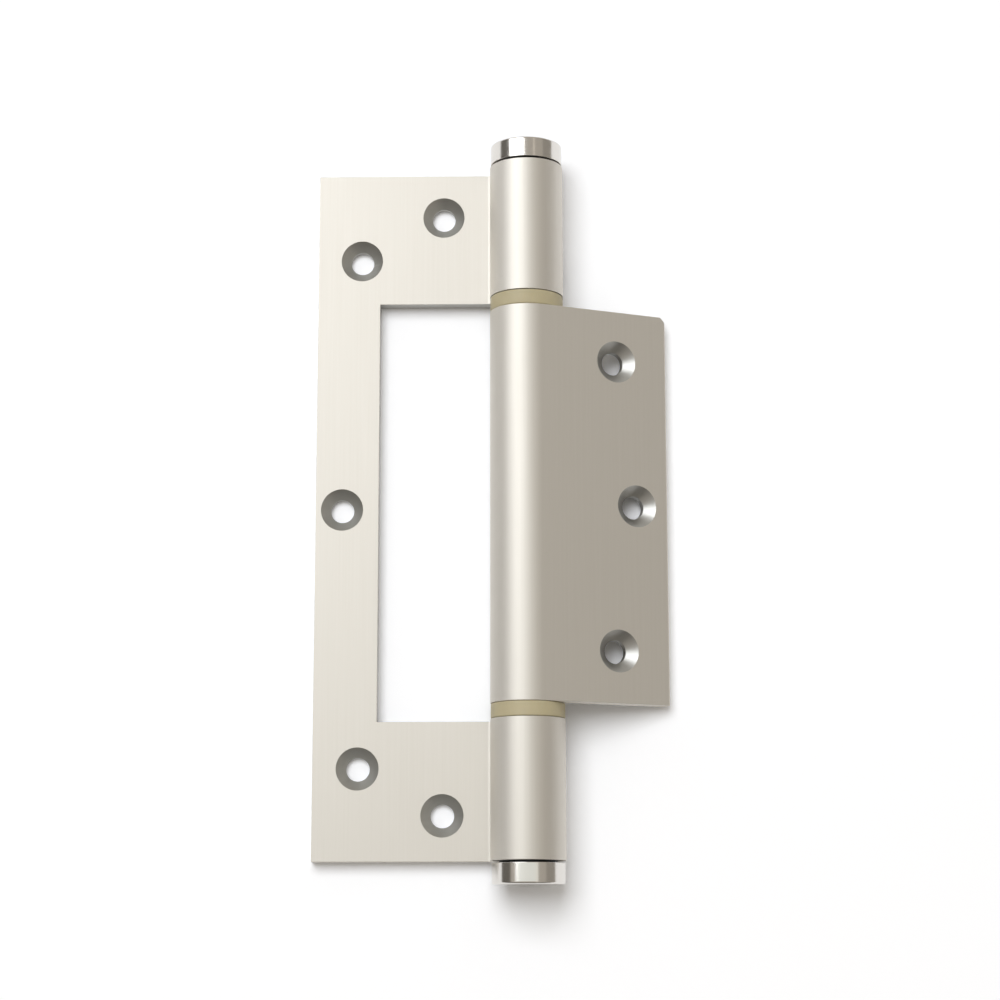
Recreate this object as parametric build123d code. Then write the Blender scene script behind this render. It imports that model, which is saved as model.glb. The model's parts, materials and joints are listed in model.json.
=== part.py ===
from build123d import *
import math
import os

# Spring hinge for a swing door, lying open on its back with the pin line along Y.
# Two aluminium extrusions, each in one piece with its knuckles, turn on nylon
# flange bushes. A torsion spring in the middle knuckle is wound by a spindle in
# the upper knuckle. When shut, the door leaf nests in the window of the frame
# leaf, and both lie in one plane. All sizes are in millimetres.

# Barrel: the knuckles share one outside diameter and one bore
barrel_diameter = 19.0
knuckle_bore = 14.5

# Leaves
leaf_thickness = 4.0
leaf_root_radius = 1.5
edge_break = 0.3
frame_leaf_height = 180.0
frame_leaf_reach = 54.7
window_reach = 38.4
door_leaf_height = 101.8
door_leaf_reach = 35.6
door_corner_clip = 1.6
knuckle_gap = 4.0

# Countersunk screw holes: reach from the pin line, and margin from the leaf's ends
screw_hole_diameter = 6.0
countersink_diameter = 10.9
frame_near_reach = 21.8
frame_near_margin = 11.5
frame_far_reach = 43.3
frame_far_margin = 23.3
frame_middle_reach = 47.9
door_outer_reach = 21.1
door_outer_margin = 13.3
door_middle_reach = 26.6

# Nylon flange bushes, pressed into both ends of the middle knuckle
flange_inset = 0.1
flange_edge_chamfer = 0.5
flange_end_play = 0.1
bush_sleeve_length = 12.0

# Polished end caps, pushed into the outer ends of the frame leaf's knuckles
cap_diameter = 18.6
cap_height = 5.9
cap_edge_chamfer = 0.6
cap_seam_height = 0.5
cap_seam_depth = 0.8
cap_spigot_length = 9.0

# Spindles: a head locked in the frame leaf's knuckle, a journal in the bush
spindle_head_length = 16.0
journal_diameter = 8.8
drive_square = 5.6
drive_square_length = 5.0
key_socket_width = 6.0
key_socket_depth = 7.0
guide_rod_diameter = 6.0

# Lock screws: headless, with a hexagon socket, sunk below the barrel's surface
lock_screw_diameter = 4.0
lock_screw_sink = 0.3
lock_screw_socket_width = 2.0
lock_screw_socket_depth = 1.5
lock_screw_bite = 2.0
lock_screw_angle = 45.0
anchor_screw_angle = 90.0

# Torsion spring of square wire, with a straight tang, drawn thinner, at each end
wire_width = 2.2
coil_mean_diameter = 11.0
coil_turns = 16
coil_runs = 12
tang_width = 2.0
tang_length = 4.0
tang_lap = 0.4
hub_length = 9.0
anchor_length = 9.0

# Clearances
running_clearance = 0.05
seat_clearance = 0.05
hub_clearance = 0.3
end_clearance = 0.2
tang_clearance = 0.1

# Sizes that follow from the ones above
barrel_radius = barrel_diameter / 2
bore_radius = knuckle_bore / 2
head_radius = bore_radius - running_clearance
journal_radius = journal_diameter / 2
screw_radius = lock_screw_diameter / 2
window_height = door_leaf_height + 2 * knuckle_gap
flange_thickness = knuckle_gap - flange_end_play
frame_near_height = frame_leaf_height / 2 - frame_near_margin
frame_far_height = frame_leaf_height / 2 - frame_far_margin
door_outer_height = door_leaf_height / 2 - door_outer_margin
countersink_depth = (countersink_diameter - screw_hole_diameter) / 2
plate_inner = barrel_radius - leaf_thickness
bush_inner_end = door_leaf_height / 2 - bush_sleeve_length
hub_top = bush_inner_end - end_clearance
coil_end = hub_top - hub_length - end_clearance
coil_half_length = coil_end - wire_width / 2
coil_pitch = 2 * coil_half_length / coil_turns
coil_radius = coil_mean_diameter / 2
head_start = window_height / 2
lock_screw_height = head_start + spindle_head_length / 2
anchor_bottom = -hub_top
anchor_screw_height = anchor_bottom + anchor_length / 3
screw_end_radius = bore_radius - lock_screw_bite

# The open door leaf slopes down until its outer edge rests on the table
tip_reach = door_leaf_reach - edge_break
tip_radius = math.hypot(tip_reach, plate_inner)
door_slope = math.asin(barrel_radius / tip_radius) + math.atan2(plate_inner, tip_reach)
open_angle = 180 + math.degrees(door_slope)

# The origin is the middle of the footprint, so the pin line stands off to one side
door_tip_x = door_leaf_reach * math.cos(door_slope) + (barrel_radius - edge_break) * math.sin(door_slope)
pin_x = (frame_leaf_reach - door_tip_x) / 2

# Pieces are drawn about the pin line as local Z. Local X runs along the leaves and
# local Y runs down to the table.
ON_PIN = Pos(pin_x, 0, barrel_radius) * Rot(X=-90)
UPSIDE_DOWN = Rot(X=180)
FROM_BASE = (Align.CENTER, Align.CENTER, Align.MIN)
FROM_TOP = (Align.CENTER, Align.CENTER, Align.MAX)

# A leaf's two faces: the one that the barrel stands up from, and the one that runs
# out level with the barrel's back
STEPPED_FACE = Pos(0, plate_inner, 0) * Rot(X=90)
LEVEL_FACE = Pos(0, barrel_radius, 0) * Rot(X=-90)


def radial(angle, height):
    """Place a piece so that its Z axis points straight out of the barrel."""
    return Pos(0, 0, height) * Rot(Z=angle) * Rot(Y=90)


def hexagon(width, length):
    """A hexagonal bar by its width across flats, running down from Z = 0."""
    return extrude(RegularPolygon(width / 2, 6, major_radius=False), -length)


def leaf_blank(reach, height, clip):
    """An extruded leaf with a full-length solid barrel, edges broken, lying to -X."""
    plate = Pos(-reach, plate_inner) * Rectangle(reach, leaf_thickness, align=(Align.MIN, Align.MIN))
    section = Circle(barrel_radius) + plate
    crease = Vector(-math.sqrt(barrel_radius**2 - plate_inner**2), plate_inner, 0)
    corner = section.vertices().sort_by_distance(crease)[0]
    blank = extrude(fillet(corner, leaf_root_radius), height / 2, both=True)
    if clip:
        upper_corner = blank.edges().filter_by(Axis.Y).group_by(Axis.X)[0].sort_by(Axis.Z)[-1]
        blank = chamfer(upper_corner, clip)
    ends = blank.faces().filter_by(Axis.Z)
    sharp = ends.edges() + blank.edges().filter_by(Axis.Z).group_by(Axis.X)[0]
    return chamfer(sharp, edge_break)


def screw_hole(reach, height, face):
    """Cutter for one countersunk hole, sunk into the leaf from the given face."""
    shank = Cylinder(screw_hole_diameter / 2, barrel_diameter)
    cone = Cone(screw_hole_diameter / 2, countersink_diameter / 2, countersink_depth, align=FROM_TOP)
    return Pos(-reach, 0, height) * face * (shank + cone)


def tapped_hole(angle, height):
    """Cutter for a lock screw's hole through one side of a knuckle."""
    radius = screw_radius + seat_clearance
    return radial(angle, height) * Cylinder(radius, barrel_diameter, align=FROM_BASE)


def screw_pocket(angle, height):
    """Cutter for the blind hole that a lock screw's point sits in."""
    pocket = Cylinder(screw_radius + seat_clearance, barrel_radius, align=FROM_BASE)
    return radial(angle, height) * Pos(0, 0, screw_end_radius - seat_clearance) * pocket


def frame_leaf():
    """C-shaped leaf with the upper and lower knuckles and five screw holes."""
    leaf = leaf_blank(frame_leaf_reach, frame_leaf_height, 0)
    window = Box(
        window_reach + barrel_diameter,
        2 * barrel_diameter,
        window_height,
        align=(Align.MIN, Align.CENTER, Align.CENTER),
    )
    leaf -= Pos(-window_reach, 0, 0) * window
    leaf -= Cylinder(bore_radius, frame_leaf_height)
    leaf -= screw_hole(frame_middle_reach, 0, STEPPED_FACE)
    for side in (-1, 1):
        leaf -= screw_hole(frame_near_reach, side * frame_near_height, STEPPED_FACE)
        leaf -= screw_hole(frame_far_reach, side * frame_far_height, STEPPED_FACE)
        leaf -= tapped_hole(lock_screw_angle, side * lock_screw_height)
    return leaf


def door_leaf():
    """Smaller leaf with the middle knuckle and three screw holes, swung open."""
    leaf = leaf_blank(door_leaf_reach, door_leaf_height, door_corner_clip)
    leaf -= Cylinder(bore_radius, door_leaf_height)
    leaf -= screw_hole(door_middle_reach, 0, LEVEL_FACE)
    for side in (-1, 1):
        leaf -= screw_hole(door_outer_reach, side * door_outer_height, LEVEL_FACE)
    leaf = Rot(Z=open_angle) * leaf
    return leaf - tapped_hole(anchor_screw_angle, anchor_screw_height)


def flange_bush():
    """Nylon bush for the upper end: a flange between knuckles and a pressed sleeve."""
    flange = Cylinder(barrel_radius - flange_inset, flange_thickness, align=FROM_BASE)
    flange = chamfer(flange.edges().filter_by(GeomType.CIRCLE), flange_edge_chamfer)
    sleeve = Cylinder(bore_radius - seat_clearance, bush_sleeve_length, align=FROM_TOP)
    bore = Cylinder(journal_radius + running_clearance, 2 * barrel_diameter)
    return Pos(0, 0, door_leaf_height / 2) * (flange + sleeve - bore)


def end_cap():
    """Polished cap for the upper end: a disc over a shadow seam, and a spigot."""
    disc = Cylinder(cap_diameter / 2, cap_height - cap_seam_height, align=FROM_BASE)
    disc = chamfer(disc.edges().sort_by(Axis.Z)[-1], cap_edge_chamfer)
    seat = Cylinder(cap_diameter / 2 - cap_seam_depth, cap_seam_height, align=FROM_BASE)
    spigot = Cylinder(bore_radius - seat_clearance, cap_spigot_length, align=FROM_TOP)
    return Pos(0, 0, frame_leaf_height / 2) * (Pos(0, 0, cap_seam_height) * disc + seat + spigot)


def spindle():
    """Upper spindle's body: a head that fills the knuckle's bore, and a journal."""
    head = Pos(0, 0, head_start) * Cylinder(head_radius, spindle_head_length, align=FROM_BASE)
    journal_length = head_start - bush_inner_end
    return head + Pos(0, 0, bush_inner_end) * Cylinder(journal_radius, journal_length, align=FROM_BASE)


def tension_spindle():
    """Upper spindle: a hexagon key turns it, and its square end winds the spring.

    The lock screw's point runs in a groove, which keeps the spindle in its knuckle.
    """
    square = Box(drive_square, drive_square, drive_square_length, align=FROM_TOP)
    socket = Pos(0, 0, head_start + spindle_head_length) * hexagon(key_socket_width, key_socket_depth)
    groove_width = lock_screw_diameter + 2 * running_clearance
    groove = Cylinder(bore_radius, groove_width)
    groove -= Cylinder(screw_end_radius - running_clearance, groove_width)
    turned = spindle() - Pos(0, 0, lock_screw_height) * groove
    return turned + Pos(0, 0, bush_inner_end) * square - socket


def pivot_spindle():
    """Lower spindle: a journal in the lower bush, and a rod that guides the spring."""
    rod_length = bush_inner_end + coil_half_length
    rod = Pos(0, 0, bush_inner_end) * Cylinder(guide_rod_diameter / 2, rod_length, align=FROM_TOP)
    return UPSIDE_DOWN * (spindle() + rod) - screw_pocket(lock_screw_angle, -lock_screw_height)


def lock_screw(angle, height):
    """Headless screw from its pocket to just below the barrel's surface."""
    outer_radius = barrel_radius - lock_screw_sink
    shank = Cylinder(screw_radius, outer_radius - screw_end_radius, align=FROM_BASE)
    shank = Pos(0, 0, screw_end_radius) * shank
    socket = Pos(0, 0, outer_radius) * hexagon(lock_screw_socket_width, lock_screw_socket_depth)
    return radial(angle, height) * (shank - socket)


def tang_slot():
    """Cutter for the upper tang's slot, open downwards and towards the knuckle's wall."""
    inner = coil_radius - tang_width / 2 - tang_clearance
    width = tang_width + 2 * tang_clearance
    slot = Box(barrel_radius, width, tang_length, align=(Align.MIN, Align.CENTER, Align.MIN))
    return Pos(inner, -tang_lap, coil_end + tang_clearance) * slot


def spring_hub():
    """Hub turned by the spindle's square end. It holds the spring's upper tang."""
    hub = Cylinder(bore_radius - hub_clearance, hub_length, align=FROM_TOP)
    socket_width = drive_square + 2 * running_clearance
    socket = Box(socket_width, socket_width, drive_square_length, align=FROM_TOP)
    return Pos(0, 0, hub_top) * (hub - socket) - tang_slot()


def spring_anchor():
    """Plug fixed in the middle knuckle. It holds the spring's lower tang."""
    anchor = Cylinder(bore_radius - seat_clearance, anchor_length, align=FROM_BASE)
    anchor -= Cylinder(guide_rod_diameter / 2 + hub_clearance, 2 * anchor_length)
    anchor = Pos(0, 0, anchor_bottom) * anchor - UPSIDE_DOWN * tang_slot()
    return anchor - screw_pocket(anchor_screw_angle, anchor_screw_height)


def flat_face(*corners):
    """A flat face between three or four corners."""
    return Face(Wire.make_polygon(corners))


def coil():
    """Open coil of square wire. Each turn is a ring of short straight runs.

    A run climbs as it turns, so its underside and its top are two triangles each.
    A section's corners come in the order inner low, inner high, outer low, outer high.
    """
    wire = Pos(coil_radius, 0, -coil_half_length) * Rot(X=90) * Rectangle(wire_width, wire_width)
    rise = coil_pitch / coil_runs
    runs = range(coil_turns * coil_runs + 1)
    sections = [Pos(0, 0, run * rise) * Rot(Z=run * 360 / coil_runs) * wire for run in runs]
    rings = [[Vector(*corner) for corner in section.vertices()] for section in sections]
    faces = [sections[0].face(), sections[-1].face()]
    for (a, b, c, d), (e, f, g, h) in zip(rings, rings[1:]):
        faces += [flat_face(a, b, f, e), flat_face(c, d, h, g)]
        faces += [flat_face(a, c, g), flat_face(a, g, e)]
        faces += [flat_face(b, d, h), flat_face(b, h, f)]
    return Solid(Shell(faces))


def torsion_spring():
    """The coil with an axial tang in the hub and one in the anchor."""
    tang = Box(tang_width, tang_width, tang_length + coil_end - coil_half_length, align=FROM_BASE)
    tang = Pos(coil_radius, -tang_lap, coil_half_length) * tang
    return coil() + tang + UPSIDE_DOWN * tang


pieces = {
    "frame_leaf": frame_leaf(),
    "door_leaf": door_leaf(),
    "upper_flange_bush": flange_bush(),
    "lower_flange_bush": UPSIDE_DOWN * flange_bush(),
    "upper_cap": end_cap(),
    "lower_cap": UPSIDE_DOWN * end_cap(),
    "tension_spindle": tension_spindle(),
    "pivot_spindle": pivot_spindle(),
    "tension_lock_screw": lock_screw(lock_screw_angle, lock_screw_height),
    "pivot_lock_screw": lock_screw(lock_screw_angle, -lock_screw_height),
    "spring_hub": spring_hub(),
    "torsion_spring": torsion_spring(),
    "spring_anchor": spring_anchor(),
    "anchor_screw": lock_screw(anchor_screw_angle, anchor_screw_height),
}

os.makedirs("parts", exist_ok=True)
for name, piece in pieces.items():
    export_step(ON_PIN * piece, f"parts/{name}.step")
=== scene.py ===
"""Looks of a spring hinge: satin aluminium leaves, nylon bushes, polished caps and their stage."""

import json
import math

import bmesh
import bpy
from bpy.props import FloatProperty, FloatVectorProperty, IntProperty, PointerProperty, StringProperty
from bpy.types import Operator, Panel, PropertyGroup
from mathutils import Matrix, Vector


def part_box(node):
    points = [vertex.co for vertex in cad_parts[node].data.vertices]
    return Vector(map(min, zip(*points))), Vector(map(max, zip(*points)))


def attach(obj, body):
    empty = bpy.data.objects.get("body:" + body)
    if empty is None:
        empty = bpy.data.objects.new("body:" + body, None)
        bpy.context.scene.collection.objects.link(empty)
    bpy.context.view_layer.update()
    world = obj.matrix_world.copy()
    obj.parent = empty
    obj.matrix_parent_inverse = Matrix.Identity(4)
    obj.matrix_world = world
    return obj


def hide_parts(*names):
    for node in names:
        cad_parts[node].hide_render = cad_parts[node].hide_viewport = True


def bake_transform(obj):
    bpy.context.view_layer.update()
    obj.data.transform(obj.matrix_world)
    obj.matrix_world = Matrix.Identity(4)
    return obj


bl_info = {
    "name": "Spring Hinge",
    "version": (1, 0, 0),
    "blender": (4, 5, 0),
    "location": "View3D > Sidebar > Hinge",
    "description": "Builds the pieces of a spring hinge and a plain stage around its CAD frame",
    "category": "Object",
}

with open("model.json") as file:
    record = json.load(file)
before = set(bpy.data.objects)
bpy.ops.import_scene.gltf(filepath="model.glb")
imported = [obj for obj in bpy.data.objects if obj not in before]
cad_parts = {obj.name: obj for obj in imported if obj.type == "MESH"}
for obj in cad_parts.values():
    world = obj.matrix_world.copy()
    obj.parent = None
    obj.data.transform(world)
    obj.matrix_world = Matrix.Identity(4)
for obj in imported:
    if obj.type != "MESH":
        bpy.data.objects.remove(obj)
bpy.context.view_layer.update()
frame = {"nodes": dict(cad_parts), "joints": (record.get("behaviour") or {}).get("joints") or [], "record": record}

MM = 0.001
SAME_POINT = 0.001 * MM

# A cut edge that turns by more than this is rounded.
ROUNDED_FROM = math.radians(30)
# An edge that turns by more than this is shaded crisp.
CRISP_FROM = math.radians(40)

# Segments in a rounding
CUT_EDGE_SEGMENTS = 3
OUTER_EDGE_SEGMENTS = 5
RIM_SEGMENTS = 8
WIRE_CORNER_SEGMENTS = 2

# Steps in a root's fillet, and in a full turn of a screw hole or of the coil
ROOT_STEPS = 10
COUNTERSINK_STEPS = 64
LOCK_SCREW_STEPS = 42
COIL_STEPS = 32

# A Mix node's sockets share their names, so those for colour go by number.
MIX_FACTOR = 0
MIX_FIRST = 6
MIX_SECOND = 7
MIX_RESULT = 2

# Places and sizes from the frame
JOINTS = {joint["name"]: joint for joint in frame["joints"]}
MOUNTS = {mount["name"]: mount for mount in frame["record"]["mounts"]}

# The pin line runs along Y. The barrel lies on the table, so the pin's height is its radius.
PIN = Vector(JOINTS["door_swing"]["pos_m"])
BARREL_RADIUS = PIN.z
OPEN_ANGLE = math.radians(JOINTS["door_swing"]["range_deg"][1])
ON_PIN = Matrix.Translation(PIN) @ Matrix.Rotation(math.radians(-90), 4, "X")


def node_size(node):
    """Width, length and height of a CAD node at rest."""
    low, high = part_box(node)
    return high - low


FRAME_LEAF_HEIGHT = node_size("frame_leaf").y
FRAME_LEAF_REACH = PIN.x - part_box("frame_leaf")[0].x
DOOR_LEAF_HEIGHT = node_size("door_leaf").y
BUSH_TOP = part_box("upper_flange_bush")[1].y
BUSH_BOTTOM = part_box("upper_flange_bush")[0].y
FLANGE_RADIUS = node_size("upper_flange_bush").x / 2
SLEEVE_RADIUS = node_size("spring_anchor").x / 2
CAP_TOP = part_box("upper_cap")[1].y
CAP_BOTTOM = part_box("upper_cap")[0].y
CAP_RADIUS = node_size("upper_cap").x / 2
COIL_RADIUS = node_size("torsion_spring").x / 2


# Sizes, colours and stage in the sidebar


def millimetres(name, value, description):
    """A length of the hinge, given in millimetres."""
    return FloatProperty(
        name=name, description=description, default=value * MM, unit="LENGTH", precision=5
    )


def metres(name, value, description):
    """A length of the stage, given in metres."""
    return FloatProperty(name=name, description=description, default=value, unit="LENGTH")


def degrees(name, value, description):
    """An angle, given in degrees."""
    return FloatProperty(
        name=name, description=description, default=math.radians(value), subtype="ANGLE"
    )


def number(name, value, description):
    """A plain number."""
    return FloatProperty(name=name, description=description, default=value)


def hex_colour(name, value, description):
    """A colour, given as an sRGB hex value."""
    return StringProperty(name=name, description=description, default=value)


class HingeSizes(PropertyGroup):
    """Sizes that the frame's boxes don't give."""

    leaf_thickness: millimetres("Leaf thickness", 4.0, "Thickness of both leaves")
    root_radius: millimetres("Root radius", 1.5, "Fillet between a leaf and its barrel")
    outer_round: millimetres("Outer round", 0.8, "Rounding of a leaf's long outer edges")
    edge_round: millimetres("Edge round", 0.12, "Rounding of the extrusions' cut edges")
    window_reach: millimetres("Window reach", 38.4, "From the pin line to the window's outer side")
    window_play: millimetres("Window play", 0.02, "Play between a flange and the frame leaf's knuckle")
    door_reach: millimetres("Door leaf reach", 35.6, "From the pin line to the door leaf's outer edge")
    corner_clip: millimetres("Corner clip", 1.6, "Clip of the door leaf's upper outer corner")
    countersink: millimetres("Countersink", 10.9, "Diameter of a countersink at the leaf's face")
    knuckle_bore: millimetres("Knuckle bore", 14.5, "Bore of all three knuckles")
    screw_bore: millimetres("Lock screw bore", 4.1, "Bore of a lock screw's hole")
    bush_bore: millimetres("Bush bore", 8.9, "Bore of a flange bush")
    sleeve_round: millimetres("Sleeve round", 0.5, "Rounding of a sleeve's or a spigot's inner end")
    flange_round: millimetres("Flange round", 0.45, "Rounding of a flange's rims")
    cap_round: millimetres("Cap round", 0.6, "Rounding of a cap's outer rim")
    seam_height: millimetres("Seam height", 0.6, "Height of the dark seam under a cap")
    seam_depth: millimetres("Seam depth", 2.0, "Depth of the dark seam under a cap")
    wire: millimetres("Spring wire", 2.2, "Width of the spring's square wire")
    wire_round: millimetres("Wire round", 0.35, "Rounding of the wire's corners")
    tang: millimetres("Spring tang", 2.0, "Width of the spring's end tangs")
    tang_reach: millimetres("Tang reach", 4.0, "Length of a tang beyond the coil")
    tang_lap: millimetres("Tang lap", 0.4, "How far a tang lies back over the coil's end")
    coil_turns: IntProperty(
        name="Coil turns", description="Turns of the torsion spring", default=16, min=1
    )
    round_steps: IntProperty(
        name="Round steps", description="Steps in a full turn of the barrel", default=128, min=24
    )


class HingeColours(PropertyGroup):
    """Finishes, as sRGB hex values."""

    aluminium: hex_colour("Aluminium", "E0DCD5", "Warm silver anodised film")
    aluminium_dull: hex_colour("Dull aluminium", "DDD9D1", "Duller streaks in the anodised film")
    # On the window's faces this darker grey is partly painted shade.
    bare: hex_colour("Bare aluminium", "BCBBB7", "Aluminium cut bare by countersink and mill")
    plating: hex_colour("Cap", "DFDCD7", "Polished plating of the end caps")
    nylon: hex_colour("Nylon", "B7AE90", "Natural nylon of the bushes")
    nylon_deep: hex_colour("Deep nylon", "AAA182", "Denser patches in the nylon")
    steel: hex_colour("Steel", "B4B3B0", "Turned steel of the spindles, hub and anchor")
    # The caps' seams take this colour too, as painted shade.
    oxide_and_seam_shade: hex_colour("Oxide", "2B2B2D", "Black oxide of the lock screws and the caps' seams")
    wire: hex_colour("Spring wire", "6A6C70", "Oil-tempered spring wire")


class HingeStage(PropertyGroup):
    """Camera, floor and light."""

    camera_place: FloatVectorProperty(
        name="Camera place",
        description="Where the camera stands over the table",
        default=(12.174 * MM, -114.134 * MM, 602.326 * MM),
        subtype="TRANSLATION",
        precision=6,
    )
    camera_turn: FloatVectorProperty(
        name="Camera turn",
        description="Pitch, yaw and roll from looking straight down",
        default=(0.19242, 0.01642, -0.00441),
        subtype="EULER",
        precision=5,
    )
    lens: FloatProperty(
        name="Lens", description="Focal length for a 36 mm sensor", default=84.98, unit="CAMERA"
    )
    floor_size: metres("Floor", 24.0, "Width of the floor")
    floor_gap: millimetres("Floor gap", 0.05, "How far the floor lies under the hinge")
    floor_colour: hex_colour("Floor colour", "E1E4E9", "Plain pale table")
    floor_gain: number("Floor gain", 1.31, "Lifts what is seen of the floor to white")
    sky_colour: hex_colour("Sky colour", "FFF6E9", "Tint of the light from all round")
    sky: number("Sky", 0.455, "Strength of the light from all round")
    key_lean: degrees("Key lean", 30, "From overhead towards the frame leaf")
    key_tilt: degrees("Key tilt", 26, "From overhead towards the upper end")
    key_roll: degrees("Key roll", 24, "Turn of the key in its own plane")
    key_distance: metres("Key distance", 1.2, "From the middle of the table")
    key_width: metres("Key width", 0.85, "Across the barrel")
    key_length: metres("Key length", 0.95, "Along the barrel")
    key_colour: hex_colour("Key colour", "F6FAFF", "Tint of the key")
    key_radiance: number("Key radiance", 3.7, "Brightness of the key's face")
    fill_lean: degrees("Fill lean", 12, "From overhead towards the frame leaf")
    fill_tilt: degrees("Fill tilt", 22, "From overhead towards the upper end")
    fill_distance: metres("Fill distance", 4.0, "From the middle of the table")
    fill_size: metres("Fill size", 2.67, "Width of the fill")
    fill_colour: hex_colour("Fill colour", "FFFFFF", "Tint of the fill")
    fill_radiance: number("Fill radiance", 5.2, "Brightness of the fill's face")
    card_distance: metres("Card distance", 1.44, "From the middle of the table")
    card_length: metres("Card length", 3.15, "Of flags and strip")
    flag_lean: degrees("Flag lean", 73, "Of the flags, from overhead")
    flag_width: metres("Flag width", 0.88, "Height of the flags")
    left_flag: number("Left flag", 0.14, "Brightness of the flag by the frame leaf")
    right_flag: number("Right flag", 0.32, "Brightness of the flag by the door leaf")
    lower_flag: number("Lower flag", 0.1, "Brightness of the flag by the lower end")
    strip_lean: degrees("Strip lean", -26, "Of the thin strip, from overhead")
    strip_width: metres("Strip width", 0.07, "Of the thin strip")
    strip: number("Strip", 1.0, "Brightness of the thin strip")
    ceiling_lean: degrees("Ceiling lean", 3, "Of the ceiling card, from overhead")
    ceiling_tilt: degrees("Ceiling tilt", 1, "Of the ceiling card, from overhead")
    ceiling_width: metres("Ceiling width", 1.9, "Across the barrel")
    ceiling_length: metres("Ceiling length", 0.5, "Along the barrel")
    ceiling_colour: hex_colour("Ceiling colour", "FBFDF8", "Tint of the ceiling card")
    ceiling: number("Ceiling", 0.95, "Brightness of the ceiling card")


# Materials


def linear(hex_value):
    """An sRGB hex value as linear RGBA."""
    channels = [int(hex_value[i : i + 2], 16) / 255 for i in (0, 2, 4)]
    return (*[c / 12.92 if c <= 0.04045 else ((c + 0.055) / 1.055) ** 2.4 for c in channels], 1.0)


def add_node(tree, kind, inputs=(), **settings):
    """Add a node, set its properties, and fill or link its inputs."""
    node = tree.nodes.new(kind)
    for name, value in settings.items():
        setattr(node, name, value)
    for socket, value in dict(inputs).items():
        if isinstance(value, bpy.types.NodeSocket):
            tree.links.new(value, node.inputs[socket])
        else:
            node.inputs[socket].default_value = value
    return node


def new_material(name):
    """A material with no nodes yet, and its tree."""
    material = bpy.data.materials.new(name)
    material.use_nodes = True
    material.node_tree.nodes.clear()
    return material, material.node_tree


def per_metre(spacing):
    """Texture scale for a pattern that repeats about every so many millimetres."""
    return 1 / (spacing * MM)


# Extruded aluminium, etched satin and anodised: a soft broad sheen with hardly any colour of
# its own, and faint die lines that run the length of the extrusion.
def anodised_aluminium(colours):
    material, tree = new_material("satin_anodised_aluminium")
    place = add_node(tree, "ShaderNodeTexCoord").outputs["Object"]
    drawn_out = add_node(tree, "ShaderNodeMapping", {"Vector": place, "Scale": (1.0, 0.012, 1.0)})
    # Die lines are finer than a pixel, so they are drawn 0.5 mm apart to show at all.
    lines = add_node(
        tree,
        "ShaderNodeTexNoise",
        {"Vector": drawn_out.outputs["Vector"], "Scale": per_metre(0.5), "Detail": 3.0},
    ).outputs["Fac"]
    etch = add_node(
        tree, "ShaderNodeTexNoise", {"Vector": place, "Scale": per_metre(0.18), "Detail": 1.0}
    ).outputs["Fac"]
    film = add_node(
        tree,
        "ShaderNodeMix",
        {
            MIX_FACTOR: lines,
            MIX_FIRST: linear(colours.aluminium),
            MIX_SECOND: linear(colours.aluminium_dull),
        },
        data_type="RGBA",
    )
    rough = add_node(tree, "ShaderNodeMapRange", {"Value": lines, "To Min": 0.56, "To Max": 0.62})
    bump = add_node(tree, "ShaderNodeBump", {"Height": etch, "Strength": 0.25, "Distance": 0.004 * MM})
    shader = add_node(
        tree,
        "ShaderNodeBsdfPrincipled",
        {
            "Base Color": film.outputs[MIX_RESULT],
            "Metallic": 1.0,
            "Roughness": rough.outputs["Result"],
            "Normal": bump.outputs["Normal"],
        },
    )
    add_node(tree, "ShaderNodeOutputMaterial", {"Surface": shader.outputs["BSDF"]})
    return material


# Aluminium cut bare by a countersink or a mill: cooler and greyer than the film, with fine
# tool marks. On the window's milled faces its darker grey is partly painted shade.
def bare_aluminium(colours):
    material, tree = new_material("bare_cut_aluminium")
    place = add_node(tree, "ShaderNodeTexCoord").outputs["Object"]
    marks = add_node(
        tree, "ShaderNodeTexNoise", {"Vector": place, "Scale": per_metre(0.35), "Detail": 2.0}
    ).outputs["Fac"]
    rough = add_node(tree, "ShaderNodeMapRange", {"Value": marks, "To Min": 0.37, "To Max": 0.47})
    shader = add_node(
        tree,
        "ShaderNodeBsdfPrincipled",
        {"Base Color": linear(colours.bare), "Metallic": 1.0, "Roughness": rough.outputs["Result"]},
    )
    add_node(tree, "ShaderNodeOutputMaterial", {"Surface": shader.outputs["BSDF"]})
    return material


def turning_marks(tree, spacing):
    """Rings about the pin line, as a lathe leaves them, about so many millimetres apart."""
    place = add_node(tree, "ShaderNodeTexCoord").outputs["Object"]
    centred = add_node(tree, "ShaderNodeMapping", {"Vector": place, "Location": -PIN})
    waves = {
        "Vector": centred.outputs["Vector"],
        "Scale": per_metre(spacing) / math.tau,
        "Distortion": 0.4,
        "Detail": 2.0,
    }
    rings = add_node(tree, "ShaderNodeTexWave", waves, wave_type="RINGS", rings_direction="Y")
    return rings.outputs["Fac"]


# Turned brass under bright plating: a mirror that shows the room in hard bands, with rings
# from turning that are only seen on the flat end.
def polished_cap(colours):
    material, tree = new_material("bright_plated_brass")
    rings = turning_marks(tree, 0.4)
    rough = add_node(tree, "ShaderNodeMapRange", {"Value": rings, "To Min": 0.15, "To Max": 0.21})
    shader = add_node(
        tree,
        "ShaderNodeBsdfPrincipled",
        {"Base Color": linear(colours.plating), "Metallic": 1.0, "Roughness": rough.outputs["Result"]},
    )
    add_node(tree, "ShaderNodeOutputMaterial", {"Surface": shader.outputs["BSDF"]})
    return material


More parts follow.
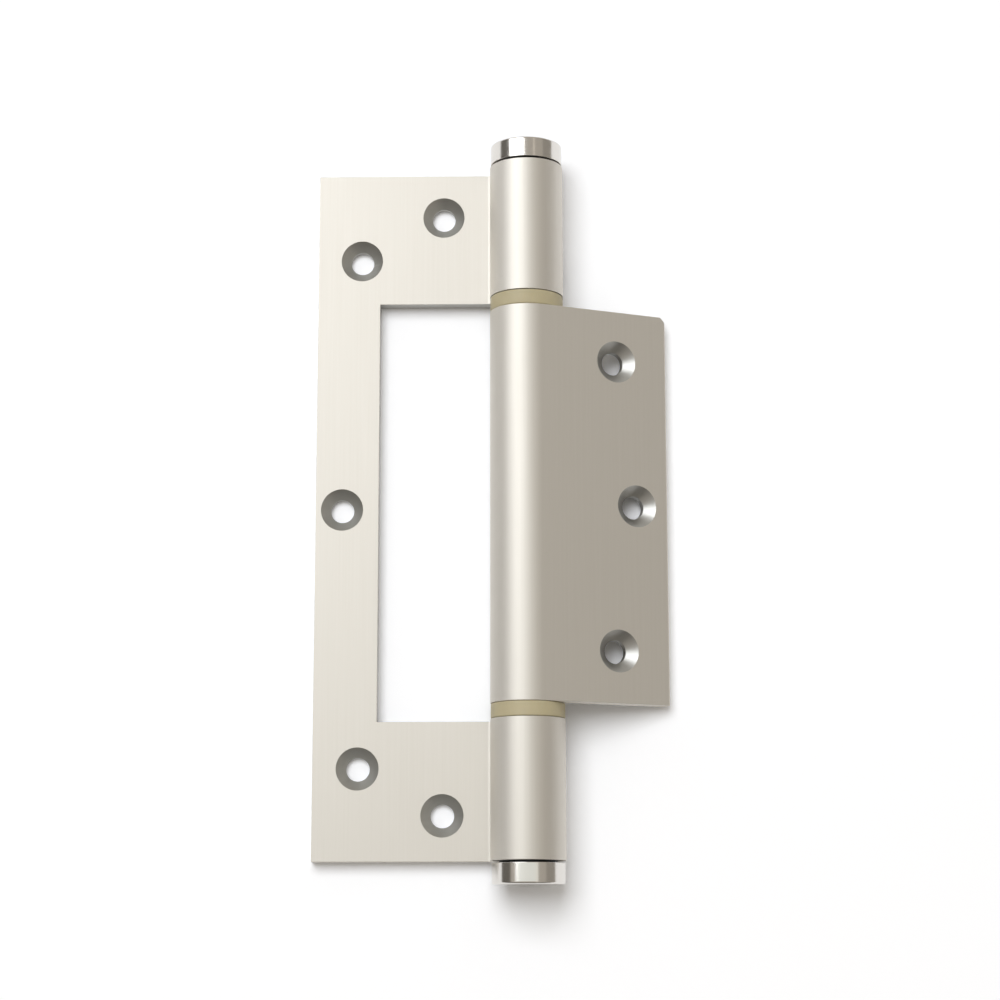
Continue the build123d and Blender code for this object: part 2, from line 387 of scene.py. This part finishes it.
# Natural nylon, moulded: cream, waxy and a little see-through, with denser patches.
def natural_nylon(colours):
    material, tree = new_material("moulded_natural_nylon")
    place = add_node(tree, "ShaderNodeTexCoord").outputs["Object"]
    patches = add_node(
        tree, "ShaderNodeTexNoise", {"Vector": place, "Scale": per_metre(4), "Detail": 3.0}
    ).outputs["Fac"]
    grain = add_node(
        tree, "ShaderNodeTexNoise", {"Vector": place, "Scale": per_metre(0.3), "Detail": 1.0}
    ).outputs["Fac"]
    cream = add_node(
        tree,
        "ShaderNodeMix",
        {
            MIX_FACTOR: patches,
            MIX_FIRST: linear(colours.nylon),
            MIX_SECOND: linear(colours.nylon_deep),
        },
        data_type="RGBA",
    )
    bump = add_node(tree, "ShaderNodeBump", {"Height": grain, "Strength": 0.3, "Distance": 0.01 * MM})
    shader = add_node(
        tree,
        "ShaderNodeBsdfPrincipled",
        {
            "Base Color": cream.outputs[MIX_RESULT],
            "Roughness": 0.55,
            "IOR": 1.53,
            "Subsurface Weight": 0.3,
            "Subsurface Radius": (1.0, 0.8, 0.5),
            "Subsurface Scale": 1.5 * MM,
            "Normal": bump.outputs["Normal"],
        },
    )
    add_node(tree, "ShaderNodeOutputMaterial", {"Surface": shader.outputs["BSDF"]})
    return material


# Free-cutting steel from the lathe: grey, with rings about the pin that catch the light.
def turned_steel(colours):
    material, tree = new_material("lathe_turned_steel")
    rings = turning_marks(tree, 0.3)
    rough = add_node(tree, "ShaderNodeMapRange", {"Value": rings, "To Min": 0.24, "To Max": 0.4})
    shader = add_node(
        tree,
        "ShaderNodeBsdfPrincipled",
        {"Base Color": linear(colours.steel), "Metallic": 1.0, "Roughness": rough.outputs["Result"]},
    )
    add_node(tree, "ShaderNodeOutputMaterial", {"Surface": shader.outputs["BSDF"]})
    return material


# Steel with a black oxide finish: nearly black, with an oily half-gloss. The caps' seams take it too, as painted
# shade in the gap.
def black_oxide_and_seam_shade(colours):
    material, tree = new_material("black_oxide_steel_and_seam_shade")
    place = add_node(tree, "ShaderNodeTexCoord").outputs["Object"]
    blotches = add_node(
        tree, "ShaderNodeTexNoise", {"Vector": place, "Scale": per_metre(0.8), "Detail": 2.0}
    ).outputs["Fac"]
    rough = add_node(tree, "ShaderNodeMapRange", {"Value": blotches, "To Min": 0.32, "To Max": 0.5})
    shader = add_node(
        tree,
        "ShaderNodeBsdfPrincipled",
        {"Base Color": linear(colours.oxide_and_seam_shade), "Metallic": 0.8, "Roughness": rough.outputs["Result"]},
    )
    add_node(tree, "ShaderNodeOutputMaterial", {"Surface": shader.outputs["BSDF"]})
    return material


# Oil-tempered spring wire: dark grey with a thin dull scale.
def spring_wire(colours):
    material, tree = new_material("oil_tempered_wire")
    place = add_node(tree, "ShaderNodeTexCoord").outputs["Object"]
    scale = add_node(
        tree, "ShaderNodeTexNoise", {"Vector": place, "Scale": per_metre(1.2), "Detail": 4.0}
    ).outputs["Fac"]
    rough = add_node(tree, "ShaderNodeMapRange", {"Value": scale, "To Min": 0.34, "To Max": 0.52})
    shader = add_node(
        tree,
        "ShaderNodeBsdfPrincipled",
        {"Base Color": linear(colours.wire), "Metallic": 0.9, "Roughness": rough.outputs["Result"]},
    )
    add_node(tree, "ShaderNodeOutputMaterial", {"Surface": shader.outputs["BSDF"]})
    return material


# A plain white table. It keeps the hinge's shadow, and what the camera and the metal see of it
# is lifted to white.
def white_table(stage):
    material, tree = new_material("white_table")
    path = add_node(tree, "ShaderNodeLightPath").outputs
    seen = path["Is Camera Ray"]
    for ray in ("Is Glossy Ray", "Is Transmission Ray"):
        either = add_node(tree, "ShaderNodeMath", {0: seen, 1: path[ray]}, operation="MAXIMUM")
        seen = either.outputs["Value"]
    plain = linear(stage.floor_colour)
    lifted = tuple(channel * stage.floor_gain for channel in plain)
    colour = add_node(
        tree,
        "ShaderNodeMix",
        {MIX_FACTOR: seen, MIX_FIRST: plain, MIX_SECOND: lifted},
        data_type="RGBA",
    )
    paint = add_node(tree, "ShaderNodeBsdfDiffuse", {"Color": colour.outputs[MIX_RESULT]})
    add_node(tree, "ShaderNodeOutputMaterial", {"Surface": paint.outputs["BSDF"]})
    return material


FINISHES = {}


def finish_of(make, colours):
    """A material from its maker, made once."""
    if make not in FINISHES:
        FINISHES[make] = make(colours)
    return FINISHES[make]


# Meshes


def new_piece(name, bm, material):
    """A mesh object at the origin from a bmesh."""
    mesh = bpy.data.meshes.new(name)
    bm.to_mesh(mesh)
    bm.free()
    mesh.materials.append(material)
    piece = bpy.data.objects.new(name, mesh)
    bpy.context.scene.collection.objects.link(piece)
    return piece


def apply_modifiers(piece):
    """Put what the modifiers make into the piece's own mesh."""
    graph = bpy.context.evaluated_depsgraph_get()
    mesh = bpy.data.meshes.new_from_object(piece.evaluated_get(graph))
    piece.modifiers.clear()
    piece.data = mesh


def combine(piece, operation, others):
    """Cut others from a piece, or join them to it. A cut face takes its cutter's material."""
    for other in others:
        step = piece.modifiers.new("combine", "BOOLEAN")
        step.operation = operation
        step.solver = "EXACT"
        step.material_mode = "TRANSFER"
        step.object = other
    apply_modifiers(piece)
    for other in others:
        bpy.data.objects.remove(other)
    bm = bmesh.new()
    bm.from_mesh(piece.data)
    bmesh.ops.remove_doubles(bm, verts=bm.verts, dist=SAME_POINT)
    bmesh.ops.dissolve_degenerate(bm, edges=bm.edges, dist=SAME_POINT)
    bm.to_mesh(piece.data)
    bm.free()


def soften(piece, radius):
    """Round the sharp edges of a piece."""
    rounding = piece.modifiers.new("edges", "BEVEL")
    rounding.width = radius
    rounding.segments = CUT_EDGE_SEGMENTS
    rounding.limit_method = "ANGLE"
    rounding.angle_limit = ROUNDED_FROM
    rounding.use_clamp_overlap = False
    apply_modifiers(piece)


def shade(piece):
    """Shade smooth over round stretches, and keep corners crisp and flat faces flat."""
    piece.data.shade_smooth()
    piece.data.set_sharp_from_angle(angle=CRISP_FROM)
    weight = piece.modifiers.new("weight", "WEIGHTED_NORMAL")
    weight.keep_sharp = True
    apply_modifiers(piece)


def hand_over(piece, node, body):
    """Let a finished piece stand for its CAD node and move with its body."""
    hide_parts(node)
    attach(piece, body)


def round_off(bm, parts, radius, segments, affect):
    """Round the given edges or corners of a bmesh. One segment clips them."""
    bmesh.ops.bevel(
        bm, geom=parts, offset=radius, segments=segments, profile=0.5, affect=affect, material=-1
    )


def turned(profile, place, steps, rounds=()):
    """A bmesh turned about Z from (radius, height) points. Numbered corners are rounded."""
    bm = bmesh.new()
    points = [bm.verts.new((radius, 0, height)) for radius, height in profile]
    for start, end in zip(points, points[1:]):
        bm.edges.new((start, end))
    for corner, radius in rounds:
        round_off(bm, [points[corner]], radius, RIM_SEGMENTS, "VERTICES")
    bmesh.ops.spin(
        bm,
        geom=bm.verts[:] + bm.edges[:],
        cent=(0, 0, 0),
        axis=(0, 0, 1),
        angle=math.tau,
        steps=steps,
        use_merge=True,
    )
    bmesh.ops.remove_doubles(bm, verts=bm.verts, dist=SAME_POINT)
    bmesh.ops.recalc_face_normals(bm, faces=bm.faces)
    bmesh.ops.transform(bm, matrix=place, verts=bm.verts)
    return bm


def facing(point, axis):
    """A matrix that puts Z along an axis at a point."""
    return Matrix.Translation(point) @ Vector(axis).to_track_quat("Z", "Y").to_matrix().to_4x4()


def both_ends(node):
    """Name and placement of the upper and the lower one of a pair.

    Both are drawn upwards from the pin's middle.
    """
    yield f"upper_{node}", ON_PIN
    yield f"lower_{node}", ON_PIN @ Matrix.Rotation(math.pi, 4, "X")


# Leaves


def leaf_section(reach, sizes):
    """A bmesh of a leaf's section with its barrel about the origin and the leaf to -X."""
    face_z = sizes.leaf_thickness - BARREL_RADIUS
    # The root's fillet touches the leaf's face and the barrel.
    centre_z = face_z + sizes.root_radius
    centre_x = -math.sqrt((BARREL_RADIUS + sizes.root_radius) ** 2 - centre_z**2)
    lean = math.atan2(-centre_z, -centre_x)
    bm = bmesh.new()
    foot = bm.verts.new((0, 0, -BARREL_RADIUS))
    barrel_sweep = math.radians(270) + lean
    barrel = bmesh.ops.spin(
        bm,
        geom=[foot],
        cent=(0, 0, 0),
        axis=(0, -1, 0),
        angle=barrel_sweep,
        steps=round(sizes.round_steps * barrel_sweep / math.tau),
    )
    root = bmesh.ops.spin(
        bm,
        geom=barrel["geom_last"],
        cent=(centre_x, 0, centre_z),
        axis=(0, 1, 0),
        angle=math.radians(90) + lean,
        steps=ROOT_STEPS,
    )
    upper = bm.verts.new((-reach, 0, face_z))
    lower = bm.verts.new((-reach, 0, -BARREL_RADIUS))
    for pair in ((root["geom_last"][0], upper), (upper, lower), (lower, foot)):
        bm.edges.new(pair)
    bmesh.ops.contextual_create(bm, geom=bm.edges[:])
    return bm


def leaf_blank(reach, height, clip, sizes):
    """A bmesh of a leaf with its full-length barrel. A clip is taken off the upper outer corner."""
    bm = leaf_section(reach, sizes)
    bmesh.ops.translate(bm, verts=bm.verts, vec=(0, -height / 2, 0))
    drawn = bmesh.ops.extrude_face_region(bm, geom=bm.faces[:])["geom"]
    far = [part for part in drawn if isinstance(part, bmesh.types.BMVert)]
    bmesh.ops.translate(bm, verts=far, vec=(0, height, 0))
    bmesh.ops.recalc_face_normals(bm, faces=bm.faces)
    if clip:
        corner = [
            edge for edge in bm.edges if all(v in far and v.co.x < clip - reach for v in edge.verts)
        ]
        round_off(bm, corner, clip, 1, "EDGES")
    long_outer = [
        edge
        for edge in bm.edges
        if edge.calc_length() > BARREL_RADIUS and all(v.co.x < clip / 2 - reach for v in edge.verts)
    ]
    round_off(bm, long_outer, sizes.outer_round, OUTER_EDGE_SEGMENTS, "EDGES")
    return bm


def round_cutter(diameter, depth, place, steps, material):
    """A round cutter along a place's Z, with its middle there."""
    bm = bmesh.new()
    bmesh.ops.create_cone(
        bm,
        cap_ends=True,
        segments=steps,
        radius1=diameter / 2,
        radius2=diameter / 2,
        depth=depth,
        matrix=place,
    )
    return new_piece("round_cutter", bm, material)


def barrel_bore(sizes, material):
    """Cutter for the knuckles' bore, which runs out of both ends."""
    return round_cutter(sizes.knuckle_bore, 2 * FRAME_LEAF_HEIGHT, ON_PIN, sizes.round_steps, material)


def lock_screw_bore(node, sizes, material):
    """Cutter for a lock screw's hole, from the pin line out past the barrel."""
    low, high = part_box(node)
    middle = (low + high) / 2
    axis = Vector((middle.x - PIN.x, 0, middle.z - PIN.z)).normalized()
    place = facing(Vector((PIN.x, middle.y, PIN.z)) + axis * BARREL_RADIUS, axis)
    return round_cutter(sizes.screw_bore, 2 * BARREL_RADIUS, place, LOCK_SCREW_STEPS, material)


def window_cutter(sizes, material):
    """Cutter for the frame leaf's window, which also parts its barrel into two knuckles."""
    width = sizes.window_reach + 2 * BARREL_RADIUS
    height = 2 * (BUSH_TOP + sizes.window_play)
    middle = Vector((width / 2 - sizes.window_reach, 0, 0)) + PIN
    scale = Matrix.Diagonal((width, height, 4 * BARREL_RADIUS, 1))
    bm = bmesh.new()
    bmesh.ops.create_cube(bm, size=1, matrix=Matrix.Translation(middle) @ scale)
    return new_piece("window_cutter", bm, material)


def hole_backs(names):
    """Where each screw hole leaves the back of its leaf, its axis and its radius."""
    for name in names:
        mount = MOUNTS[name]
        dims = mount["dims"]
        axis = Vector(mount["axis"])
        middle = Vector(mount["pos_m"])
        if mount["kind"] == "bolt_pattern":
            for side in (-1, 1):
                offset = Vector((0, side * dims["spacing_y_mm"] / 2 * MM, 0))
                yield middle + offset, axis, dims["hole_r_mm"] * MM
        else:
            yield middle - axis * dims["length_mm"] / 2 * MM, axis, dims["r_mm"] * MM


def countersinks(names, sizes, material):
    """Cutters for screw holes, each a plain bore that opens in a right-angled cone."""
    rim = sizes.countersink / 2
    top = sizes.leaf_thickness
    cutters = []
    for back, axis, radius in hole_backs(names):
        profile = (
            (0, -top),
            (radius, -top),
            (radius, top - rim + radius),
            (2 * rim, top + rim),
            (0, top + rim),
        )
        bm = turned(profile, facing(back, axis), COUNTERSINK_STEPS)
        cutters.append(new_piece("countersink_cutter", bm, material))
    return cutters


class HINGE_OT_frame_leaf(Operator):
    """Build the frame leaf: a C-shaped extrusion with two knuckles and five countersunk holes"""

    bl_idname = "hinge.frame_leaf"
    bl_label = "Frame Leaf"

    def execute(self, context):
        sizes = context.scene.hinge_sizes
        film = finish_of(anodised_aluminium, context.scene.hinge_colours)
        bare = finish_of(bare_aluminium, context.scene.hinge_colours)
        bm = leaf_blank(FRAME_LEAF_REACH, FRAME_LEAF_HEIGHT, 0, sizes)
        bmesh.ops.translate(bm, verts=bm.verts, vec=PIN)
        leaf = new_piece("frame_leaf_extrusion", bm, film)
        # The window's milled faces take the bare finish, whose darker grey there is partly painted shade.
        combine(leaf, "DIFFERENCE", [window_cutter(sizes, bare), barrel_bore(sizes, film)])
        soften(leaf, sizes.edge_round)
        screws = ("tension_lock_screw", "pivot_lock_screw")
        cutters = [lock_screw_bore(node, sizes, bare) for node in screws]
        cutters += countersinks(("frame_near_holes", "frame_far_holes", "frame_middle_hole"), sizes, bare)
        combine(leaf, "DIFFERENCE", cutters)
        shade(leaf)
        hand_over(leaf, "frame_leaf", "frame")
        return {"FINISHED"}


class HINGE_OT_door_leaf(Operator):
    """Build the door leaf: a smaller extrusion with the middle knuckle, swung open onto the table"""

    bl_idname = "hinge.door_leaf"
    bl_label = "Door Leaf"

    def execute(self, context):
        sizes = context.scene.hinge_sizes
        film = finish_of(anodised_aluminium, context.scene.hinge_colours)
        bare = finish_of(bare_aluminium, context.scene.hinge_colours)
        bm = leaf_blank(sizes.door_reach, DOOR_LEAF_HEIGHT, sizes.corner_clip, sizes)
        opened = Matrix.Translation(PIN) @ Matrix.Rotation(OPEN_ANGLE, 4, "Y")
        bmesh.ops.transform(bm, matrix=opened, verts=bm.verts)
        leaf = new_piece("door_leaf_extrusion", bm, film)
        combine(leaf, "DIFFERENCE", [barrel_bore(sizes, film)])
        soften(leaf, sizes.edge_round)
        cutters = [lock_screw_bore("anchor_screw", sizes, bare)]
        cutters += countersinks(("door_upper_hole", "door_middle_hole", "door_lower_hole"), sizes, bare)
        combine(leaf, "DIFFERENCE", cutters)
        shade(leaf)
        hand_over(leaf, "door_leaf", "door")
        return {"FINISHED"}


# Bushes, caps and inner works


class HINGE_OT_flange_bushes(Operator):
    """Build the two nylon bushes, each with a flange between knuckles and a sleeve in the bore"""

    bl_idname = "hinge.flange_bushes"
    bl_label = "Flange Bushes"

    def execute(self, context):
        sizes = context.scene.hinge_sizes
        nylon = finish_of(natural_nylon, context.scene.hinge_colours)
        bore = sizes.bush_bore / 2
        seat = DOOR_LEAF_HEIGHT / 2
        profile = (
            (bore, BUSH_BOTTOM),
            (SLEEVE_RADIUS, BUSH_BOTTOM),
            (SLEEVE_RADIUS, seat),
            (FLANGE_RADIUS, seat),
            (FLANGE_RADIUS, BUSH_TOP),
            (bore, BUSH_TOP),
            (bore, BUSH_BOTTOM),
        )
        rounds = ((1, sizes.sleeve_round), (3, sizes.flange_round), (4, sizes.flange_round))
        for node, place in both_ends("flange_bush"):
            bm = turned(profile, place, sizes.round_steps, rounds)
            bush = new_piece(node + "_moulding", bm, nylon)
            shade(bush)
            hand_over(bush, node, "door")
        return {"FINISHED"}


class HINGE_OT_end_caps(Operator):
    """Build the two polished caps, each with a seam under it that is painted dark as shade, and a spigot in the
    bore
    """

    bl_idname = "hinge.end_caps"
    bl_label = "End Caps"

    def execute(self, context):
        sizes = context.scene.hinge_sizes
        plating = finish_of(polished_cap, context.scene.hinge_colours)
        oxide_and_seam_shade = finish_of(black_oxide_and_seam_shade, context.scene.hinge_colours)
        seat = FRAME_LEAF_HEIGHT / 2
        seam_top = seat + sizes.seam_height
        seam_radius = CAP_RADIUS - sizes.seam_depth
        profile = (
            (0, CAP_BOTTOM),
            (SLEEVE_RADIUS, CAP_BOTTOM),
            (SLEEVE_RADIUS, seat),
            (seam_radius, seat),
            (seam_radius, seam_top),
            (CAP_RADIUS, seam_top),
            (CAP_RADIUS, CAP_TOP),
            (0, CAP_TOP),
        )
        rounds = ((1, sizes.sleeve_round), (5, sizes.edge_round), (6, sizes.cap_round))
        for node, place in both_ends("cap"):
            bm = turned(profile, place, sizes.round_steps, rounds)
            cap = new_piece(node + "_turning", bm, plating)
            # The seam's faces take the black oxide finish as painted shade, so that the gap under the cap shows
            # dark.
            cap.data.materials.append(oxide_and_seam_shade)
            for face in cap.data.polygons:
                face.material_index = int(seat < abs(face.center.y) < seam_top - sizes.edge_round)
            shade(cap)
            hand_over(cap, node, "frame")
        return {"FINISHED"}


def half_coil(radius, height, sizes):
    """A bmesh of half the spring's turns, wound upwards about Z from the origin's height."""
    steps = sizes.coil_turns * COIL_STEPS // 2
    bm = bmesh.new()
    bmesh.ops.create_grid(bm, size=sizes.wire / 2, matrix=Matrix.Rotation(math.pi / 2, 4, "X"))
    round_off(bm, bm.verts[:], sizes.wire_round, WIRE_CORNER_SEGMENTS, "VERTICES")
    bmesh.ops.translate(bm, verts=bm.verts, vec=(radius, 0, 0))
    bmesh.ops.spin(
        bm,
        geom=bm.faces[:] + bm.edges[:] + bm.verts[:],
        cent=(0, 0, 0),
        axis=(0, 0, 1),
        dvec=(0, 0, height / steps),
        angle=math.tau * sizes.coil_turns / 2,
        steps=steps,
    )
    bmesh.ops.recalc_face_normals(bm, faces=bm.faces)
    return bm


class HINGE_OT_torsion_spring(Operator):
    """Build the torsion spring as two half coils, each with a tang"""

    bl_idname = "hinge.torsion_spring"
    bl_label = "Torsion Spring"

    def execute(self, context):
        sizes = context.scene.hinge_sizes
        wire = finish_of(spring_wire, context.scene.hinge_colours)
        tang_end = node_size("torsion_spring").y / 2
        coil_half = tang_end - sizes.tang_reach - sizes.wire / 2
        radius = COIL_RADIUS - sizes.wire / 2
        tang_length = tang_end - coil_half
        tang = Matrix.Translation((radius, -sizes.tang_lap, coil_half + tang_length / 2))
        tang @= Matrix.Diagonal((sizes.tang, sizes.tang, tang_length, 1))
        for (half, place), body in zip(both_ends("half_coil"), ("tension", "door")):
            bm = half_coil(radius, coil_half, sizes)
            bmesh.ops.transform(bm, matrix=place, verts=bm.verts)
            spring = new_piece(f"torsion_spring_{half}", bm, wire)
            bm = bmesh.new()
            bmesh.ops.create_cube(bm, size=1, matrix=place @ tang)
            combine(spring, "UNION", [new_piece("tang", bm, wire)])
            shade(spring)
            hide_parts("torsion_spring")
            # The halves meet in the middle, which stays with the frame.
            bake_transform(spring)
        return {"FINISHED"}


class HINGE_OT_inner_works(Operator):
    """Give the spindles, the hub, the anchor and the lock screws their finishes"""

    bl_idname = "hinge.inner_works"
    bl_label = "Inner Works"

    def execute(self, context):
        colours = context.scene.hinge_colours
        finishes = {
            turned_steel: ("tension_spindle", "pivot_spindle", "spring_hub", "spring_anchor"),
            black_oxide_and_seam_shade: ("tension_lock_screw", "pivot_lock_screw", "anchor_screw"),
        }
        for make, nodes in finishes.items():
            for node in nodes:
                mesh = frame["nodes"][node].data
                mesh.materials.clear()
                mesh.materials.append(finish_of(make, colours))
        return {"FINISHED"}


# Stage


def leaning(lean, tilt, distance):
    """A place overhead that faces the hinge.

    It leans to the frame leaf's side and tilts to the upper end.
    """
    turn = Matrix.Rotation(-lean, 4, "Y") @ Matrix.Rotation(-tilt, 4, "X")
    return turn @ Matrix.Translation((0, 0, distance))


def card(name, place, size, colour, radiance):
    """A card that only gloss sees. Dark or bright, it gives the metal a band."""
    material, tree = new_material(name)
    glow = add_node(tree, "ShaderNodeEmission", {"Color": linear(colour), "Strength": radiance})
    add_node(tree, "ShaderNodeOutputMaterial", {"Surface": glow.outputs["Emission"]})
    bm = bmesh.new()
    bmesh.ops.create_grid(bm, size=0.5, matrix=place @ Matrix.Diagonal((*size, 1, 1)))
    piece = new_piece(name, bm, material)
    piece.visible_camera = False
    piece.visible_diffuse = False
    piece.visible_shadow = False


def softbox(name, place, size, colour, radiance):
    """A rectangular lamp that faces the hinge."""
    light = bpy.data.lights.new(name, "AREA")
    light.shape = "RECTANGLE"
    light.size, light.size_y = size
    light.color = linear(colour)[:3]
    light.energy = math.pi * size[0] * size[1] * radiance
    lamp = bpy.data.objects.new(name, light)
    lamp.matrix_world = place
    bpy.context.scene.collection.objects.link(lamp)
    return lamp


def lay_table(stage):
    """The white table, a hair under the hinge."""
    bm = bmesh.new()
    bmesh.ops.create_grid(bm, size=stage.floor_size / 2)
    bmesh.ops.translate(bm, verts=bm.verts, vec=(0, 0, -stage.floor_gap))
    new_piece("table", bm, white_table(stage))


def hang_lamps(stage):
    """The key, which only gloss shows, and the fill, which only lights matt surfaces.

    The fill is far off, so that the table is evenly white.
    """
    place = leaning(stage.key_lean, stage.key_tilt, stage.key_distance)
    place @= Matrix.Rotation(stage.key_roll, 4, "Z")
    size = (stage.key_width, stage.key_length)
    key = softbox("key", place, size, stage.key_colour, stage.key_radiance)
    key.visible_diffuse = False
    place = leaning(stage.fill_lean, stage.fill_tilt, stage.fill_distance)
    size = (stage.fill_size, stage.fill_size)
    fill = softbox("fill", place, size, stage.fill_colour, stage.fill_radiance)
    fill.visible_glossy = False


def hang_cards(stage):
    """Flags low down on three sides, a thin strip over the door leaf and a ceiling card."""
    along = (stage.flag_width, stage.card_length)
    across = (stage.card_length, stage.flag_width)
    thin = (stage.strip_width, stage.card_length)
    broad = (stage.ceiling_width, stage.ceiling_length)
    cards = {
        "left_flag": (stage.flag_lean, 0, along, stage.sky_colour, stage.left_flag),
        "right_flag": (-stage.flag_lean, 0, along, stage.sky_colour, stage.right_flag),
        "lower_flag": (0, -stage.flag_lean, across, stage.sky_colour, stage.lower_flag),
        "strip": (stage.strip_lean, 0, thin, stage.sky_colour, stage.strip),
        "ceiling": (stage.ceiling_lean, stage.ceiling_tilt, broad, stage.ceiling_colour, stage.ceiling),
    }
    for name, (lean, tilt, size, colour, radiance) in cards.items():
        card(name, leaning(lean, tilt, stage.card_distance), size, colour, radiance)


def set_sky(scene, stage):
    """A plain pale light from all round."""
    world = bpy.data.worlds.new("studio")
    world.use_nodes = True
    sky = world.node_tree.nodes["Background"].inputs
    sky["Color"].default_value = linear(stage.sky_colour)
    sky["Strength"].default_value = stage.sky
    scene.world = world


def set_camera(scene, stage):
    """The camera, nearly straight over the hinge."""
    camera = bpy.data.objects.new("camera", bpy.data.cameras.new("camera"))
    camera.location = stage.camera_place
    camera.rotation_mode = "ZYX"
    camera.rotation_euler = stage.camera_turn
    camera.data.lens = stage.lens
    scene.collection.objects.link(camera)
    scene.camera = camera


class HINGE_OT_stage(Operator):
    """Set the camera, a white table and soft studio light"""

    bl_idname = "hinge.stage"
    bl_label = "Stage"

    def execute(self, context):
        scene = context.scene
        stage = scene.hinge_stage
        scene.view_settings.view_transform = "Standard"
        lay_table(stage)
        hang_lamps(stage)
        hang_cards(stage)
        set_sky(scene, stage)
        set_camera(scene, stage)
        return {"FINISHED"}


# Sidebar and registration

STEPS = (
    HINGE_OT_frame_leaf,
    HINGE_OT_door_leaf,
    HINGE_OT_flange_bushes,
    HINGE_OT_end_caps,
    HINGE_OT_torsion_spring,
    HINGE_OT_inner_works,
    HINGE_OT_stage,
)
GROUPS = {"hinge_sizes": HingeSizes, "hinge_colours": HingeColours, "hinge_stage": HingeStage}


class HINGE_PT_sidebar(Panel):
    """Sizes, colours and building steps of the hinge"""

    bl_idname = "HINGE_PT_sidebar"
    bl_label = "Spring Hinge"
    bl_space_type = "VIEW_3D"
    bl_region_type = "UI"
    bl_category = "Hinge"

    def draw(self, context):
        for step in STEPS:
            self.layout.operator(step.bl_idname)
        for name, group in GROUPS.items():
            box = self.layout.box()
            for value in group.__annotations__:
                box.prop(getattr(context.scene, name), value)


CLASSES = (*GROUPS.values(), *STEPS, HINGE_PT_sidebar)


def register():
    for cls in CLASSES:
        bpy.utils.register_class(cls)
    for name, group in GROUPS.items():
        setattr(bpy.types.Scene, name, PointerProperty(type=group))


def unregister():
    for name in GROUPS:
        delattr(bpy.types.Scene, name)
    for cls in reversed(CLASSES):
        bpy.utils.unregister_class(cls)


def main():
    """Build every piece and the stage."""
    register()
    bpy.ops.hinge.frame_leaf()
    bpy.ops.hinge.door_leaf()
    bpy.ops.hinge.flange_bushes()
    bpy.ops.hinge.end_caps()
    bpy.ops.hinge.torsion_spring()
    bpy.ops.hinge.inner_works()
    bpy.ops.hinge.stage()


if __name__ == "__main__":
    main()
